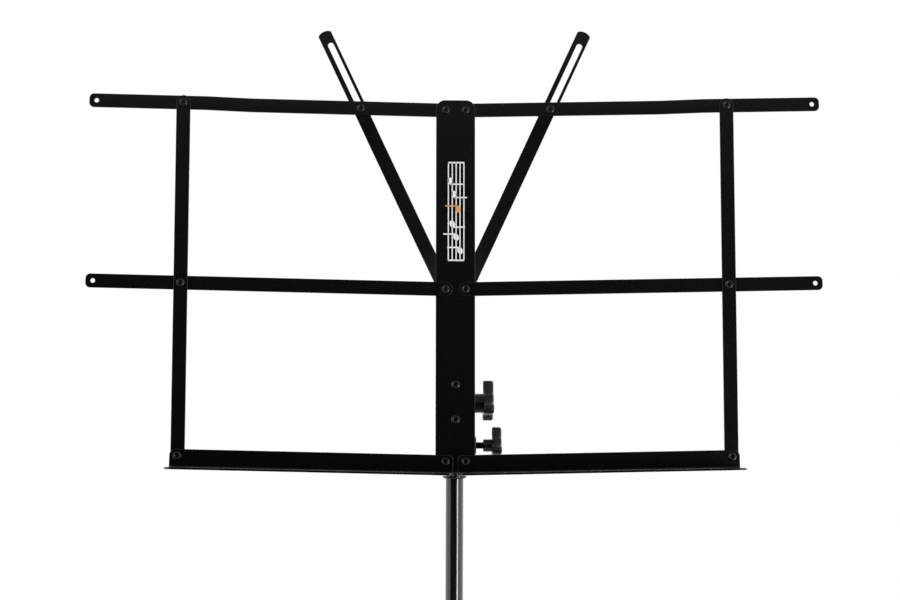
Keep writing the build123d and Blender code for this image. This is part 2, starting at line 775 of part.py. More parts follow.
def finned_ring(height, bore, fin_half, fin_tip, pin_radius):
    """Moulded ring round the lower tube with three fins that carry the pivots."""
    with BuildPart() as piece:
        with BuildSketch(across(height - ring_height / 2)):
            Circle(ring_radius)
        extrude(amount=ring_height)
        for azimuth in leg_azimuths.values():
            with BuildSketch(radial(azimuth, height)):
                with Locations((leg_pivot_radius / 2, 0)):
                    Rectangle(leg_pivot_radius, 2 * fin_tip)
                with Locations((leg_pivot_radius, 0)):
                    Circle(fin_tip)
            extrude(amount=fin_half, both=True)
        for azimuth in leg_azimuths.values():
            with BuildSketch(radial(azimuth, height, leg_pivot_radius)):
                Circle(pin_radius)
            extrude(amount=fin_half, both=True, mode=Mode.SUBTRACT)
        with BuildSketch(across(height - ring_height / 2)):
            Circle(bore)
        extrude(amount=ring_height, mode=Mode.SUBTRACT)
        for end in (0, -1):
            circles = piece.edges().filter_by(GeomType.CIRCLE)
            rims = circles.filter_by(lambda e: e.radius > ring_radius - 0.1)
            fillet(rims.group_by(Axis.Z)[end], 1.0)
    return piece


leg_inner = leg_half_width - channel_wall
brace_inner = brace_half_width - channel_wall
pieces["leg_hub"] = finned_ring(
    hub_height, lower_tube_radius, brace_inner - side_play, hub_fin_tip, hub_pin_radius
)
pieces["leg_collar"] = finned_ring(
    leg_top_height,
    lower_tube_radius + turning_play,
    leg_inner - side_play,
    collar_fin_tip,
    knee_radius,
)

with BuildPart() as hub_pins:
    for azimuth in leg_azimuths.values():
        spot = radial(azimuth, hub_height, leg_pivot_radius)
        add(spot.location * pin(brace_half_width, hub_pin_radius))
pieces["hub_pins"] = hub_pins

with BuildPart() as collar_rivets:
    for azimuth in leg_azimuths.values():
        spot = radial(azimuth, leg_top_height, leg_pivot_radius)
        add(spot.location * pin(leg_half_width + turning_play, knee_radius, knee_head, knee_head_height))
pieces["collar_rivets"] = collar_rivets

foot_start = leg_length - foot_sleeve
foot_end = leg_length + foot_past_leg

for place, azimuth in leg_azimuths.items():
    leg_plane = radial(azimuth, leg_top_height, leg_pivot_radius, 180.0 - leg_spread)
    leg = channel(
        leg_plane,
        leg_length - leg_half_depth,
        leg_half_depth,
        leg_half_width,
        1,
        leg_web_start,
        leg_length,
        ((0, knee_radius + turning_play), (brace_length, knee_radius)),
    )
    pieces[f"leg_{place}"] = leg

    brace_plane = radial(azimuth, hub_height, leg_pivot_radius, leg_spread)
    pieces[f"brace_{place}"] = channel(
        brace_plane,
        brace_length,
        brace_half_depth,
        brace_half_width,
        -1,
        brace_web_start,
        brace_length - brace_web_start,
        ((0, hub_pin_radius + turning_play), (brace_length, knee_radius + turning_play)),
    )

    with BuildPart(leg_plane) as knee_rivet:
        with Locations((brace_length, 0, 0)):
            add(pin(leg_half_width, knee_radius, knee_head, knee_head_height))
    pieces[f"knee_rivet_{place}"] = knee_rivet

    with BuildPart() as foot:
        with BuildSketch(leg_plane):
            with Locations(((foot_start + foot_end) / 2, 0)):
                RectangleRounded(foot_end - foot_start, 2 * foot_half_depth, foot_corner)
        extrude(amount=foot_half_width, both=True)
        split(bisect_by=Plane.XY, keep=Keep.TOP)
        add(leg.part, mode=Mode.SUBTRACT)
    pieces[f"foot_{place}"] = foot

# ---- Write one file per piece ----------------------------------------------------------------------------

for node, piece in pieces.items():
    piece.part.label = node
    export_step(piece.part, f"parts/{node}.step")
print(len(pieces), "nodes; leg collar at", round(leg_top_height, 3), "leg hub at", round(hub_height, 3))
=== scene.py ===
# %% [markdown]
# # A folding music stand, finished and lit
#
# The stand is a desk of thin black strips riveted to a flat spine, on a telescopic tube with a folding
# tripod. The frame that is loaded here holds every piece at its true size and place, in metres, with the
# desk facing -Y. This lesson gives each piece the finish of the real thing, and models again the pieces
# whose shape a plain solid can't show: moulded knobs, rubber feet and a print.

# %% Load the frame
import json
from math import cos, pi, radians, sin, sqrt

import bmesh
import bpy
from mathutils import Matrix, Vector


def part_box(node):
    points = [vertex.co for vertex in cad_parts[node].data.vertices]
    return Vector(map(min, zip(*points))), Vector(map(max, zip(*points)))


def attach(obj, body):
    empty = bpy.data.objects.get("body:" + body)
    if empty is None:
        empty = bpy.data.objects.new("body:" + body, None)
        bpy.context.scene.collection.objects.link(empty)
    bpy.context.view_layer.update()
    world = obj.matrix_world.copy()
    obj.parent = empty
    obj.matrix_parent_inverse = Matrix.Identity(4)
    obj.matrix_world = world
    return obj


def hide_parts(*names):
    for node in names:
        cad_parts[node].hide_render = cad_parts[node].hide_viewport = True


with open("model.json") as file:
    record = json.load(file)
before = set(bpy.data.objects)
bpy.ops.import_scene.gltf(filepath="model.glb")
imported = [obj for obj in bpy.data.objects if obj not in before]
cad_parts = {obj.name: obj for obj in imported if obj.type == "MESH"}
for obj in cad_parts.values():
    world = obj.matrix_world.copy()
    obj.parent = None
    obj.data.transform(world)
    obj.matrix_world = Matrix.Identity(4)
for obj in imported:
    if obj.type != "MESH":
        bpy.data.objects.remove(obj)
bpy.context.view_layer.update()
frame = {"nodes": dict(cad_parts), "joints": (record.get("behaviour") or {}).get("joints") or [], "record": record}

mm = 0.001
joints = {joint["name"]: joint for joint in frame["joints"]}

# %% [markdown]
# ## Where the desk is
#
# The desk leans back, so its own directions are needed again and again: right, up the spine, and out of
# its front. They come from the joint about which the right half folds, because its axis stands square on
# the desk. The middle of the two middle rivets is the desk's own origin.

# %% The desk's directions
def joint_spot(name):
    """A joint's place at rest."""
    return Vector(joints[name]["pos_m"])


right = Vector((1, 0, 0))
front = Vector(joints["fold_right"]["axis"]).normalized()
up = front.cross(right)
desk_origin = (joint_spot("fold_right") + joint_spot("fold_left")) / 2


def on_desk(x, y, depth=0.0):
    """The place x to the right, y up the spine and depth out of its front, all in millimetres."""
    return desk_origin + (right * x + up * y + front * depth) * mm


print("desk origin", [round(v, 4) for v in desk_origin])

# %% [markdown]
# ## The camera
#
# The stand is looked at from the front and about a degree from its left, level with the middle of the
# desk. A 72 mm lens, longer than a normal one, keeps the strips nearly parallel. Only the desk and the top
# of the tube are in the picture, and the level camera lets the tube run out of it at the bottom.

# %% Camera
camera_distance = 1.198
lens_mm = 72.0
sensor_mm = 36.0
camera_shift_right = -0.0036
camera_below_origin = 0.0071
camera_roll = radians(-0.2)
camera_turn = radians(1.15)  # round the desk, towards its left

camera = bpy.data.objects.new("camera", bpy.data.cameras.new("camera"))
bpy.context.scene.collection.objects.link(camera)
camera.data.lens = lens_mm
camera.data.sensor_width = sensor_mm
camera.data.clip_end = 50
sight = Vector((sin(camera_turn), cos(camera_turn), 0))
camera.location = desk_origin - sight * camera_distance
camera.location += Vector((camera_shift_right, 0, -camera_below_origin))
camera.rotation_euler = (radians(90), camera_roll, -camera_turn)
bpy.context.scene.camera = camera
print("camera at", [round(v, 4) for v in camera.location])

# %% [markdown]
# ## One way to add a node
#
# Every finish below is a small net of shader nodes. One function adds a node of any kind: its settings
# are properties of the node, and its inputs are either plain values or the outputs of other nodes. Hex
# colours are how paint makers and screens name a colour, so a second function turns them to the linear
# values that light is worked out with.

# %% Colours and nodes
def linear(hex_colour):
    """An sRGB hex colour as linear red, green, blue and alpha."""
    channels = [int(hex_colour[i : i + 2], 16) / 255 for i in (1, 3, 5)]
    return (*[c / 12.92 if c <= 0.04045 else ((c + 0.055) / 1.055) ** 2.4 for c in channels], 1.0)


def add_node(tree, kind, inputs=None, **settings):
    """A new node; each input is a value, or the output socket that feeds it."""
    node = tree.nodes.new("ShaderNode" + kind)
    for name, value in settings.items():
        setattr(node, name, value)
    for name, value in (inputs or {}).items():
        if isinstance(value, bpy.types.NodeSocket):
            tree.links.new(value, node.inputs[name])
        else:
            node.inputs[name].default_value = value
    return node


def new_material(name):
    """An empty material with its node tree and its shader."""
    material = bpy.data.materials.new(name)
    material.use_nodes = True
    tree = material.node_tree
    tree.nodes.clear()
    shader = add_node(tree, "BsdfPrincipled")
    output = add_node(tree, "OutputMaterial")
    tree.links.new(shader.outputs["BSDF"], output.inputs["Surface"])
    return material, tree, shader


def per_metre(millimetres):
    """The scale of a noise whose bumps are this far apart."""
    return 1 / (millimetres * mm)


print("black paint in linear light:", linear("#060607"))

# %% [markdown]
# ## Worn and rounded edges
#
# Paint is thinnest on a sheet's edges, and hands polish it there. A bevel node rounds the normal within
# a short distance of each edge, so the angle between the rounded and the true normal says how near the
# edge is. That mask, broken up by a noise, lightens the colour a little and smooths the gloss.

# %% Edge mask
def edge_mask(tree, radius_mm, patch_mm, strength):
    """From 0 on a flat face to strength along its edges, in patches of this size."""
    rounded = add_node(tree, "Bevel", {"Radius": radius_mm * mm}, samples=4)
    true = add_node(tree, "NewGeometry")
    angle = add_node(
        tree,
        "VectorMath",
        {0: rounded.outputs["Normal"], 1: true.outputs["Normal"]},
        operation="DOT_PRODUCT",
    )
    edge = add_node(
        tree, "MapRange", {"Value": angle.outputs["Value"], "From Min": 0.98, "From Max": 0.75}
    )
    where = add_node(tree, "TexCoord")
    patches = add_node(
        tree,
        "TexNoise",
        {"Vector": where.outputs["Object"], "Scale": per_metre(patch_mm), "Detail": 3.0},
    )
    worn = add_node(
        tree,
        "MapRange",
        {"Value": patches.outputs["Fac"], "From Min": 0.4, "From Max": 0.65, "To Max": strength},
    )
    return add_node(
        tree, "Math", {0: edge.outputs["Result"], 1: worn.outputs["Result"]}, operation="MULTIPLY"
    ).outputs["Value"]


print("edge mask ready")

# %% [markdown]
# ## Satin black powder coat
#
# The strips, the spine and the ledges are cold-rolled steel, powder-coated black. Powder is sprayed on
# dry and melts in an oven, which leaves orange peel: soft bumps a millimetre or two apart, with a finer
# grain in them. Polyester powder has an IOR of about 1.5. A satin one usually has a roughness of 0.3 to
# 0.4; this coat flowed out glossier, so it starts at 0.22. The eye sees a deep black with a soft sheen, a
# little uneven from one place to the next. The grain is drawn at 0.5 mm, coarser than the real one, to show.

# %% Powder coat
def coated_steel(name, dark, light, roughness, peel_mm, grain_mm, peel_height_mm, wear):
    """Paint over steel: peel and grain in the surface, slow changes of tone, and worn edges."""
    material, tree, shader = new_material(name)
    where = add_node(tree, "TexCoord").outputs["Object"]
    tone = add_node(tree, "TexNoise", {"Vector": where, "Scale": per_metre(35), "Detail": 2.0})
    grain = add_node(
        tree, "TexNoise", {"Vector": where, "Scale": per_metre(grain_mm), "Detail": 2.0}
    )
    peel = add_node(
        tree, "TexNoise", {"Vector": where, "Scale": per_metre(peel_mm), "Detail": 1.0}
    )
    paint = add_node(
        tree,
        "Mix",
        {"Factor": tone.outputs["Fac"], "A": linear(dark), "B": linear(light)},
        data_type="RGBA",
    )
    speckle = add_node(
        tree,
        "Mix",
        {"Factor": grain.outputs["Fac"], "A": paint.outputs["Result"], "B": linear(light)},
        data_type="RGBA",
        blend_type="SOFT_LIGHT",
    )
    mask = edge_mask(tree, 0.3, 4.0, wear)
    colour = add_node(
        tree,
        "Mix",
        {"Factor": mask, "A": speckle.outputs["Result"], "B": linear("#4a4a4c")},
        data_type="RGBA",
    )
    sheen = add_node(
        tree,
        "MapRange",
        {
            "Value": grain.outputs["Fac"],
            "From Min": 0.3,
            "From Max": 0.7,
            "To Min": roughness - 0.05,
            "To Max": roughness + 0.06,
        },
    )
    fine = add_node(
        tree,
        "Bump",
        {"Height": grain.outputs["Fac"], "Strength": 0.35, "Distance": 0.25 * peel_height_mm * mm},
    )
    coarse = add_node(
        tree,
        "Bump",
        {
            "Height": peel.outputs["Fac"],
            "Normal": fine.outputs["Normal"],
            "Strength": 0.6,
            "Distance": peel_height_mm * mm,
        },
    )
    shader.inputs["IOR"].default_value = 1.5
    tree.links.new(colour.outputs["Result"], shader.inputs["Base Color"])
    tree.links.new(sheen.outputs["Result"], shader.inputs["Roughness"])
    tree.links.new(coarse.outputs["Normal"], shader.inputs["Normal"])
    return material


powder_coat = coated_steel(
    "satin_black_powder_coated_steel",
    dark="#030304",
    light="#060607",
    roughness=0.22,
    peel_mm=1.6,
    grain_mm=0.5,
    peel_height_mm=0.02,
    wear=0.5,
)
print(powder_coat.name)

# %% [markdown]
# ## Gloss black enamel
#
# The tubes are welded steel tube, dipped in black enamel and stoved. The enamel flows out smooth before
# it hardens, so it mirrors the lights as long bands down the tube, with only a slow ripple in them. Its
# IOR is about 1.52 and its roughness low. The folded legs have the same finish. Sliding through the
# collars leaves fine scratches along the tube, which show as streaks in the gloss.

# %% Enamel
drawn_out = 0.02  # scratches are fifty times as long as they are wide


def stoved_enamel(name, colour_hex, roughness, along_z):
    """Gloss paint with a slow ripple and fine scratches, drawn out along the tube."""
    material, tree, shader = new_material(name)
    where = add_node(tree, "TexCoord").outputs["Object"]
    stretch = (1, 1, drawn_out) if along_z else (1, 1, 1)
    drawn = add_node(tree, "Mapping", {"Vector": where, "Scale": stretch})
    scratches = add_node(
        tree,
        "TexNoise",
        {"Vector": drawn.outputs["Vector"], "Scale": per_metre(0.6), "Detail": 2.0},
    )
    ripple = add_node(tree, "TexNoise", {"Vector": where, "Scale": per_metre(6), "Detail": 0.0})
    tone = add_node(tree, "TexNoise", {"Vector": where, "Scale": per_metre(40), "Detail": 1.0})
    paint = add_node(
        tree,
        "Mix",
        {"Factor": tone.outputs["Fac"], "A": linear(colour_hex), "B": linear("#141416")},
        data_type="RGBA",
    )
    mask = edge_mask(tree, 0.35, 5.0, 0.5)
    colour = add_node(
        tree,
        "Mix",
        {"Factor": mask, "A": paint.outputs["Result"], "B": linear("#5c5c5e")},
        data_type="RGBA",
    )
    gloss = add_node(
        tree,
        "MapRange",
        {
            "Value": scratches.outputs["Fac"],
            "From Min": 0.45,
            "From Max": 0.8,
            "To Min": roughness,
            "To Max": roughness + 0.2,
        },
    )
    bump = add_node(
        tree,
        "Bump",
        {"Height": ripple.outputs["Fac"], "Strength": 0.25, "Distance": 0.1 * mm},
    )
    shader.inputs["IOR"].default_value = 1.52
    tree.links.new(colour.outputs["Result"], shader.inputs["Base Color"])
    tree.links.new(gloss.outputs["Result"], shader.inputs["Roughness"])
    tree.links.new(bump.outputs["Normal"], shader.inputs["Normal"])
    return material


tube_enamel = stoved_enamel("gloss_black_stoved_enamel_tube", "#09090a", 0.12, along_z=True)
leg_enamel = stoved_enamel("gloss_black_stoved_enamel_folded", "#09090a", 0.2, along_z=False)
print(tube_enamel.name, leg_enamel.name)

# %% [markdown]
# ## Metals
#
# Rivets and clamp screws are blackened steel: a thin black oxide over bright metal, dark and a little
# oily, rubbed brighter where a riveting tool rolled the head. The tilt bolt and its nut are bright zinc,
# whose crystals and pale blue cast show as small patches. The threaded inserts are turned brass, with
# the tool's fine rings round their axis. All are metals, so the colour is the colour of the reflection.

# %% Metals
def plated_metal(name, dark, light, roughness, patch_mm, mark_mm, rub):
    """Metal whose colour and gloss change in patches, with fine tool marks and rubbed edges."""
    material, tree, shader = new_material(name)
    where = add_node(tree, "TexCoord").outputs["Object"]
    patches = add_node(tree, "TexVoronoi", {"Vector": where, "Scale": per_metre(patch_mm)})
    marks = add_node(
        tree, "TexNoise", {"Vector": where, "Scale": per_metre(mark_mm), "Detail": 3.0}
    )
    plate = add_node(
        tree,
        "Mix",
        {"Factor": patches.outputs["Distance"], "A": linear(dark), "B": linear(light)},
        data_type="RGBA",
    )
    mask = edge_mask(tree, 0.25, 1.5, rub)
    colour = add_node(
        tree,
        "Mix",
        {"Factor": mask, "A": plate.outputs["Result"], "B": linear("#a8a49c")},
        data_type="RGBA",
    )
    gloss = add_node(
        tree,
        "MapRange",
        {
            "Value": marks.outputs["Fac"],
            "From Min": 0.3,
            "From Max": 0.7,
            "To Min": roughness - 0.06,
            "To Max": roughness + 0.08,
        },
    )
    bump = add_node(
        tree, "Bump", {"Height": marks.outputs["Fac"], "Strength": 0.3, "Distance": 0.03 * mm}
    )
    shader.inputs["Metallic"].default_value = 1.0
    tree.links.new(colour.outputs["Result"], shader.inputs["Base Color"])
    tree.links.new(gloss.outputs["Result"], shader.inputs["Roughness"])
    tree.links.new(bump.outputs["Normal"], shader.inputs["Normal"])
    return material


black_oxide = plated_metal("black_oxide_rolled_rivet_steel", "#2e2e30", "#444344", 0.2, 0.9, 0.35, 0.25)
bright_zinc = plated_metal("bright_zinc_plated_steel", "#b4b8bd", "#d3d6d8", 0.26, 1.1, 0.4, 0.1)
turned_brass = plated_metal("turned_brass", "#b08a45", "#cfae6a", 0.22, 2.0, 0.3, 0.1)
print(black_oxide.name, bright_zinc.name, turned_brass.name)

# %% [markdown]
# ## Moulded plastic and rubber
#
# Knobs, collars and hub are glass-filled nylon, shot black into a spark-eroded mould, which prints a fine
# even grain on them. A film of mould release takes some of its shine, so its specular level is low. The
# guides inside the tubes are the same nylon without the black, so light goes
# a little way into it. The feet are black rubber: dull, with a bloom that is slightly grey in patches.

# %% Plastics
def moulded(name, dark, light, ior, roughness, grain_mm, grain_height_mm):
    """Moulding with an eroded grain, patches of tone, and edges that handling has polished."""
    material, tree, shader = new_material(name)
    where = add_node(tree, "TexCoord").outputs["Object"]
    grain = add_node(
        tree, "TexNoise", {"Vector": where, "Scale": per_metre(grain_mm), "Detail": 3.0}
    )
    bloom = add_node(tree, "TexNoise", {"Vector": where, "Scale": per_metre(9), "Detail": 2.0})
    blend = add_node(
        tree,
        "MapRange",
        {"Value": bloom.outputs["Fac"], "From Min": 0.35, "From Max": 0.7},
    )
    body = add_node(
        tree,
        "Mix",
        {"Factor": blend.outputs["Result"], "A": linear(dark), "B": linear(light)},
        data_type="RGBA",
    )
    polish = edge_mask(tree, 0.4, 3.0, 0.12)
    rough = add_node(
        tree,
        "MapRange",
        {
            "Value": grain.outputs["Fac"],
            "From Min": 0.3,
            "From Max": 0.7,
            "To Min": roughness - 0.06,
            "To Max": roughness + 0.08,
        },
    )
    smoother = add_node(
        tree, "Math", {0: rough.outputs["Result"], 1: polish}, operation="SUBTRACT"
    )
    bump = add_node(
        tree,
        "Bump",
        {"Height": grain.outputs["Fac"], "Strength": 0.7, "Distance": grain_height_mm * mm},
    )
    shader.inputs["IOR"].default_value = ior
    tree.links.new(body.outputs["Result"], shader.inputs["Base Color"])
    tree.links.new(smoother.outputs["Value"], shader.inputs["Roughness"])
    tree.links.new(bump.outputs["Normal"], shader.inputs["Normal"])
    return material


def set_shader(material, **values):
    """Sets sockets of the material's shader that are the same all over."""
    shader = material.node_tree.nodes["Principled BSDF"]
    for name, value in values.items():
        shader.inputs[name.replace("_", " ")].default_value = value


black_nylon = moulded("moulded_black_glass_filled_nylon", "#060607", "#0d0d0e", 1.5, 0.34, 0.55, 0.03)
set_shader(black_nylon, Specular_IOR_Level=0.3)
natural_nylon = moulded("moulded_natural_nylon", "#d8d2c2", "#e6e1d4", 1.53, 0.42, 0.8, 0.03)
set_shader(natural_nylon, Subsurface_Weight=0.3, Subsurface_Scale=1.5 * mm)
black_rubber = moulded("moulded_black_rubber", "#0e0e0e", "#1f1f1e", 1.52, 0.72, 0.5, 0.05)
print(black_nylon.name, natural_nylon.name, black_rubber.name)

# %% [markdown]
# ## Every piece gets its finish
#
# The record says what each piece is made of, so the finishes are handed out by that list. The pieces come
# with hard edges. A sheet cut on a press has edges rounded by the deburring and by the paint that flows
# round them, and that thin round line is what catches the light. A bevel modifier adds it. Before it, a
# weld joins the faces where the file had split them, and a dissolve turns each flat face's thin triangles
# into one face, because a bevel would fold those. After it, the normals are weighted by the size of each
# face, so that the shading of a round edge doesn't run across the flat face beside it.

# %% Hand out the finishes
finishes = {
    "black_powder_coat": powder_coat,
    "gloss_black_enamel": tube_enamel,
    "black_rivet_steel": black_oxide,
    "zinc_plated_steel": bright_zinc,
    "turned_brass": turned_brass,
    "moulded_black_nylon": black_nylon,
    "natural_nylon": natural_nylon,
    "black_rubber": black_rubber,
}
edge_radius_mm = {"black_powder_coat": 0.3, "gloss_black_enamel": 0.15, "moulded_black_nylon": 0.3}
flat_angle = radians(0.3)  # faces closer than this are one flat face
fold_angle = radians(35)


def give_finish(piece, material):
    """The piece is made of this material all over."""
    piece.data.materials.clear()
    piece.data.materials.append(material)


def round_edges(piece, radius_mm):
    """Joins split faces and rounds every edge sharper than the fold angle."""
    weld = piece.modifiers.new("weld", "WELD")
    weld.merge_threshold = 0.002 * mm
    merge = piece.modifiers.new("whole flat faces", "DECIMATE")
    merge.decimate_type = "DISSOLVE"
    merge.angle_limit = flat_angle
    bevel = piece.modifiers.new("rounded edges", "BEVEL")
    bevel.width = radius_mm * mm
    bevel.segments = 2
    bevel.limit_method = "ANGLE"
    bevel.angle_limit = fold_angle
    bevel.use_clamp_overlap = False
    level = piece.modifiers.new("flat faces stay flat", "WEIGHTED_NORMAL")
    level.mode = "FACE_AREA"
    level.weight = 60


for subpart in frame["record"]["subparts"]:
    name, slot_name = subpart["node"], subpart["material_slot"]
    piece = frame["nodes"][name]
    is_folded = name.startswith(("leg_", "brace_")) and slot_name == "gloss_black_enamel"
    give_finish(piece, leg_enamel if is_folded else finishes[slot_name])
    if slot_name in edge_radius_mm:
        round_edges(piece, edge_radius_mm[slot_name])

# %% [markdown]
# ## From rings to a closed mesh
#
# Knobs and feet are mouldings whose outline changes along one axis. Each is made as a stack of rings, all
# with the same number of points, so that neighbouring rings join with four-sided faces and the two end
# rings close with a fan. A sharp fold is two rings close together, and a round one is a few rings along
# an arc. Smooth shading is kept to faces that meet at a small angle.

# %% Stacks of rings
sharp_angle = radians(38)


def finish_mesh(name, shape, material):
    """Turns a bmesh into an object with smooth shading."""
    mesh = bpy.data.meshes.new(name)
    bmesh.ops.recalc_face_normals(shape, faces=shape.faces)
    shape.to_mesh(mesh)
    shape.free()
    piece = bpy.data.objects.new(name, mesh)
    bpy.context.scene.collection.objects.link(piece)
    give_finish(piece, material)
    mesh.shade_smooth()
    return piece


def stack(rings):
    """A closed bmesh through rings of points, with both ends filled."""
    shape = bmesh.new()
    loops = [[shape.verts.new(point) for point in ring] for ring in rings]
    for one, other in zip(loops, loops[1:]):
        for i in range(len(one)):
            shape.faces.new((one[i - 1], one[i], other[i], other[i - 1]))
    for loop in (loops[0], loops[-1]):
        middle = shape.verts.new(sum((v.co for v in loop), Vector()) / len(loop))
        for i in range(len(loop)):
            shape.faces.new((loop[i - 1], loop[i], middle))
    return shape


def keep_folds_sharp(piece):
    """Shading breaks where faces meet at more than the sharp angle."""
    piece.data.set_sharp_from_angle(angle=sharp_angle)


print("folds sharper than", round(sharp_angle, 2), "rad stay sharp")

# %% [markdown]
# ## Three-lobed knobs
#
# The knobs are moulded nylon with three lobes for the fingers. The back of the head is cored out, because
# a thick lump of plastic would sink as it cools: a rim follows the outline, and the hub stands in the
# middle. The front is slightly crowned, with a small cap pressed over the end of the screw. The outline
# could be a Boolean of cylinders, but a formula in polar form gives clean faces: the radius of a round-
# ended arm, blended with a round core by a high power, which also rounds the webs between the lobes.

# %% Knob outline
knob_points = 216
lobe_lean = radians(-16)  # the upper lobe leans back
core_share = 0.5
web_power = 9


def lobe_radius(angle, reach, half, inset):
    """How far out the three-lobed outline is at this angle from a lobe, moved in by inset."""
    turn = abs((angle + pi / 3) % (2 * pi / 3) - pi / 3)
    core = core_share * reach - inset
    half -= inset
    middle = reach - inset - half
    offset = middle * sin(turn)
    tip = middle * cos(turn) + sqrt(half**2 - offset**2) if offset < half else 0.0
    arm = tip if tip * cos(turn) > middle else half / sin(turn)
    return (arm**web_power + core**web_power) ** (1 / web_power)


print("web radius", round(lobe_radius(pi / 3, 15.5, 3.4, 0), 2), "mm")

# %% Make the knobs
rim_width = 1.3
recess_depth = 2.2
hub_chamfer = 0.4
bore_play = 0.1
cap_share = 0.3  # radius of the cap, as a share of the reach
groove_depth = 0.5
crown_arc = ((1.4, 0.0), (0.75, 0.2), (0.3, 0.6), (0.08, 1.2), (0.0, 1.9))  # below the top, inset


def knob_piece(place, joint, screw, shank, hub, reach, half, head):
    """A detailed knob in place of the plain one, bored for its screw, with sizes in millimetres."""
    centre = joint_spot(joint)
    low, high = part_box(place + "_knob")
    start, end = low[0] / mm, high[0] / mm
    screw_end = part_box(screw)[1][0] / mm
    bore = shank + bore_play
    cap = cap_share * reach
    back = end - head

    def ring(x, radius=None, inset=None, least=0.0):
        """Round where a radius is given, else the lobed outline."""
        points = []
        for i in range(knob_points):
            angle = 2 * pi * i / knob_points
            r = radius if inset is None else max(lobe_radius(angle, reach, half, inset), least)
            turned = angle + lobe_lean
            points.append((x * mm, centre.y - r * mm * sin(turned), centre.z + r * mm * cos(turned)))
        return points

    rings = [ring(screw_end + 0.3, bore), ring(start, bore), ring(start, hub - hub_chamfer)]
    rings += [ring(start + hub_chamfer, hub), ring(back + recess_depth, hub)]
    rings += [
        ring(back + recess_depth, inset=rim_width, least=hub + 0.1),
        ring(back + 0.1, inset=rim_width, least=hub + 0.1),
        ring(back, inset=rim_width - 0.2, least=hub + 0.2),
        ring(back, inset=0.4, least=hub + 0.3),
        ring(back + 0.4, inset=0.0),
    ]
    rings += [ring(end - drop, inset=inset) for drop, inset in crown_arc]
    rings += [ring(end, cap + 0.35), ring(end - groove_depth, cap + 0.2), ring(end - groove_depth, cap)]
    rings += [ring(end - 0.1, cap - 0.1), ring(end, cap - 0.5), ring(end, 0.5 * cap)]
    piece = finish_mesh(place + "_knob_moulding", stack(rings), black_nylon)
    keep_folds_sharp(piece)
    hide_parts(place + "_knob")
    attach(piece, place + "_hand")


knob_piece("tilt", "tilt_knob_turn", "tilt_bolt", shank=3.0, hub=6.45, reach=15.5, half=3.4, head=6.9)
for place in ("socket", "upper_clamp", "lower_clamp"):
    knob_piece(
        place, place + "_turn", place + "_screw", shank=2.5, hub=4.15, reach=12.5, half=2.9, head=6.3
    )
print("four knobs")

# %% [markdown]
# ## Rubber feet
#
# Each leg ends in a moulded rubber sleeve: rounded, with three ribs that stiffen it and a flat worn by the
# floor. A ring round the leg is a superellipse, which goes from an ellipse to a rectangle by its power, so
# the same formula draws the rounded outside and the square pocket that the leg sits in.

# %% Make the feet
foot_points = 96
foot_sleeve = 20.0  # mouth to the leg's last centre
foot_past_leg = 9.0
leg_spread = radians(56)  # between leg and column
leg_end_height = 9.0
foot_half = (8.0, 7.0)  # over the ribs, in the leg's depth and width
pocket_half = (6.05, 5.25)
pocket_end = 6.2
rib_depth = 0.6
rib_starts = (-13.5, -8.9, -4.3)
nose_radius = 3.5


def foot_piece(place):
    """A ribbed foot, cut off flat where it stands on the floor."""
    knee = joint_spot("leg_" + place + "_knee")
    away = Vector((knee.x, knee.y - column_y, 0)).normalized()
    along = away * sin(leg_spread) - Vector((0, 0, cos(leg_spread)))
    upright = away * cos(leg_spread) + Vector((0, 0, sin(leg_spread)))
    sideways = along.cross(upright)
    leg_end = knee + along * ((knee.z - leg_end_height * mm) / cos(leg_spread))

    def ring(place_along, half, power):
        """A superellipse across the leg, no lower than the floor."""
        points = []
        for i in range(foot_points):
            angle = 2 * pi * (i + 0.5) / foot_points
            reach = (abs(cos(angle)) ** power + abs(sin(angle)) ** power) ** (-1 / power)
            offset = upright * (half[0] * reach * cos(angle)) + sideways * (half[1] * reach * sin(angle))
            point = leg_end + (along * place_along + offset) * mm
            point.z = max(point.z, 0.0)
            points.append(point)
        return points

    def outside(place_along, less=0.0, power=5):
        """A ring of the outer skin, this much thinner than the rib tops."""
        return ring(place_along, (foot_half[0] - less, foot_half[1] - less), power)

    mouth = -foot_sleeve
    rings = [ring(pocket_end, pocket_half, 20), ring(mouth, pocket_half, 20)]
    rings += [outside(mouth, 0.5), outside(mouth + 0.3, 0.15), outside(mouth + 0.7)]
    rings += [outside(mouth + 2.2), outside(mouth + 2.6, rib_depth)]
    for start in rib_starts:
        rings += [outside(start, rib_depth), outside(start + 0.4, 0.1), outside(start + 0.8)]
        rings += [outside(start + 1.8), outside(start + 2.2, 0.1), outside(start + 2.6, rib_depth)]
    rings += [outside(1.0, rib_depth, 4), outside(3.0, 0.5, 4)]
    nose = foot_past_leg - nose_radius
    for step in range(1, 7):
        turn = radians(15 * step)
        drawn_in = 0.5 + nose_radius * (1 - cos(turn))
        rings.append(outside(nose + nose_radius * sin(turn), drawn_in, 4 - step / 4))
    piece = finish_mesh("foot_" + place + "_moulding", stack(rings), black_rubber)
    keep_folds_sharp(piece)
    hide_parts("foot_" + place)
    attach(piece, "leg_" + place)


column_y = joint_spot("desk_tilt").y  # the desk tilts over the column's axis
for place in ("back", "front_left", "front_right"):
    foot_piece(place)
print("three feet")

# %% [markdown]
# ## A print on the spine
#
# The upper half of the spine carries a screen print in two inks that reads upwards. Here it is a plain
# music stave with a few notes, which names nothing. Screen-print ink lies on the paint as a film about
# 0.05 mm thick with crisp edges, so the print is made as thin raised shapes, not as a picture: each line,
# head and stem is an outline raised off the spine's front face.

